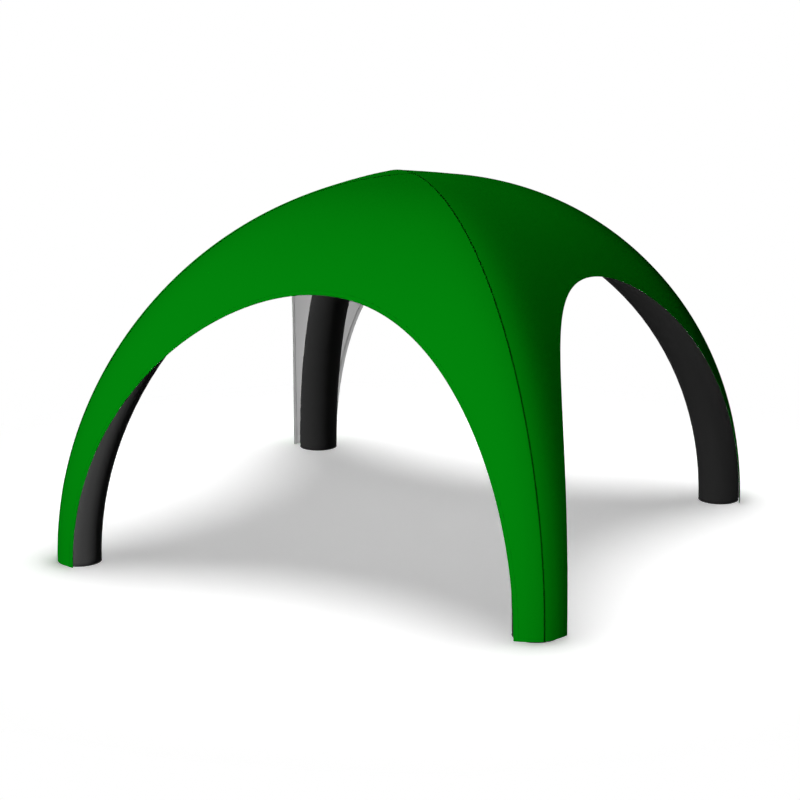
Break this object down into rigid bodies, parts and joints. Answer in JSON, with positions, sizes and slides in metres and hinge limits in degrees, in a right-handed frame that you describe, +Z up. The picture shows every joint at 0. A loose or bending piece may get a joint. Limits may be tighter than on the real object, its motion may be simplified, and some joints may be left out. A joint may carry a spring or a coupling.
{
  "type": "inflatable tent",
  "caption": "Inflatable event tent: curved air-tube legs in fabric sleeves meet at a crown under a domed canopy with open arches.",
  "frame": {"origin": "on the ground under the apex, at the middle of the four feet", "axes": "+Z up; the legs stand on the diagonals between X and Y, and -Y and +X face the two arches that the picture shows"},
  "size_m": [4.1724, 4.1724, 2.8284],
  "materials": {
    "canopy": "coated woven polyester, plain, satin",
    "arch_hem": "woven webbing",
    "sleeve": "heavy black woven polyester, matt",
    "bladder": "translucent thermoplastic film",
    "fastener": "hook-and-loop tape pair",
    "sole": "coated wear patch",
    "zip_tape": "woven zip tape",
    "zip_coil": "moulded coil",
    "zip_metal": "black lacquered zinc",
    "link_port": "moulded",
    "link_nut": "moulded",
    "valve_base": "moulded",
    "valve_black": "moulded",
    "valve_core": "moulded",
    "valve_rubber": "soft rubber",
    "spring_steel": "drawn wire"
  },
  "bodies": {
    "tent": {"leg_sleeve_left": "sleeve", "leg_bladder_left": "bladder", "canopy_fastener_left": "fastener", "foot_sole_left": "sole", "zip_tape_left": "zip_tape", "zip_coil_left": "zip_coil", "leg_sleeve_front": "sleeve", "leg_bladder_front": "bladder", "canopy_fastener_front": "fastener", "foot_sole_front": "sole", "zip_tape_front": "zip_tape", "zip_coil_front": "zip_coil", "leg_sleeve_right": "sleeve", "leg_bladder_right": "bladder", "canopy_fastener_right": "fastener", "foot_sole_right": "sole", "zip_tape_right": "zip_tape", "zip_coil_right": "zip_coil", "leg_sleeve_back": "sleeve", "leg_bladder_back": "bladder", "canopy_fastener_back": "fastener", "foot_sole_back": "sole", "zip_tape_back": "zip_tape", "zip_coil_back": "zip_coil", "canopy_panel_front_left": "canopy", "arch_hem_front_left": "arch_hem", "canopy_panel_front_right": "canopy", "arch_hem_front_right": "arch_hem", "canopy_panel_back_right": "canopy", "arch_hem_back_right": "arch_hem", "canopy_panel_back_left": "canopy", "arch_hem_back_left": "arch_hem", "air_link_port_front_left": "link_port", "air_link_nut_front_left": "link_nut", "air_link_port_front_right": "link_port", "air_link_nut_front_right": "link_nut", "air_link_port_back_left": "link_port", "air_link_nut_back_left": "link_nut", "valve_base": "valve_base", "valve_body": "valve_black", "valve_cap_strap": "valve_rubber", "valve_spring": "spring_steel", "relief_base": "valve_base", "relief_body": "valve_black", "relief_cover": "valve_black", "relief_spring": "spring_steel"},
    "slider_left": {"zip_slider_left": "zip_metal"},
    "pull_left": {"zip_pull_left": "zip_metal"},
    "slider_front": {"zip_slider_front": "zip_metal"},
    "pull_front": {"zip_pull_front": "zip_metal"},
    "slider_right": {"zip_slider_right": "zip_metal"},
    "pull_right": {"zip_pull_right": "zip_metal"},
    "slider_back": {"zip_slider_back": "zip_metal"},
    "pull_back": {"zip_pull_back": "zip_metal"},
    "valve_plunger": {"valve_plunger": "valve_core", "valve_seal": "valve_rubber"},
    "valve_cap": {"valve_cap": "valve_black"},
    "relief_poppet": {"relief_poppet": "valve_core"}
  },
  "joints": [
    {"name": "zip_slider_left", "type": "hinge", "parent": "tent", "child": "slider_left", "pos_m": [0, 0, 0], "axis": [-0.7071, 0.7071, 0], "range_deg": [0, 70]},
    {"name": "zip_pull_left", "type": "hinge", "parent": "slider_left", "child": "pull_left", "pos_m": [-1.99362, -1.75147, 0.22592], "axis": [0.7045, 0.7045, -0.085], "range_deg": [0, 165]},
    {"name": "zip_slider_front", "type": "hinge", "parent": "tent", "child": "slider_front", "pos_m": [0, 0, 0], "axis": [-0.7071, -0.7071, 0], "range_deg": [0, 70]},
    {"name": "zip_pull_front", "type": "hinge", "parent": "slider_front", "child": "pull_front", "pos_m": [1.99362, -1.75147, 0.22592], "axis": [0.7045, -0.7045, 0.085], "range_deg": [0, 165]},
    {"name": "zip_slider_right", "type": "hinge", "parent": "tent", "child": "slider_right", "pos_m": [0, 0, 0], "axis": [0.7071, -0.7071, 0], "range_deg": [0, 70]},
    {"name": "zip_pull_right", "type": "hinge", "parent": "slider_right", "child": "pull_right", "pos_m": [1.75147, 1.99362, 0.22592], "axis": [0.7045, 0.7045, 0.085], "range_deg": [0, 165]},
    {"name": "zip_slider_back", "type": "hinge", "parent": "tent", "child": "slider_back", "pos_m": [0, 0, 0], "axis": [0.7071, 0.7071, 0], "range_deg": [0, 70]},
    {"name": "zip_pull_back", "type": "hinge", "parent": "slider_back", "child": "pull_back", "pos_m": [-1.75147, 1.99362, 0.22592], "axis": [0.7045, -0.7045, -0.085], "range_deg": [0, 165]},
    {"name": "valve_push", "type": "slide", "parent": "tent", "child": "valve_plunger", "axis": [0.6971, -0.6971, 0.1675], "range_m": [0, 0.0045], "stiffness_N_per_m": 600, "springref_m": -0.004, "deforming": ["valve_spring"]},
    {"name": "valve_cap_swing", "type": "hinge", "parent": "tent", "child": "valve_cap", "pos_m": [1.73263, -1.73263, 0.44188], "axis": [0.7071, 0.7071, 0], "range_deg": [0, 95]},
    {"name": "relief_lift", "type": "slide", "parent": "tent", "child": "relief_poppet", "axis": [-0.6795, 0.6795, -0.2768], "range_m": [0, 0.003], "stiffness_N_per_m": 900, "springref_m": -0.003, "deforming": ["relief_spring"]}
  ]
}
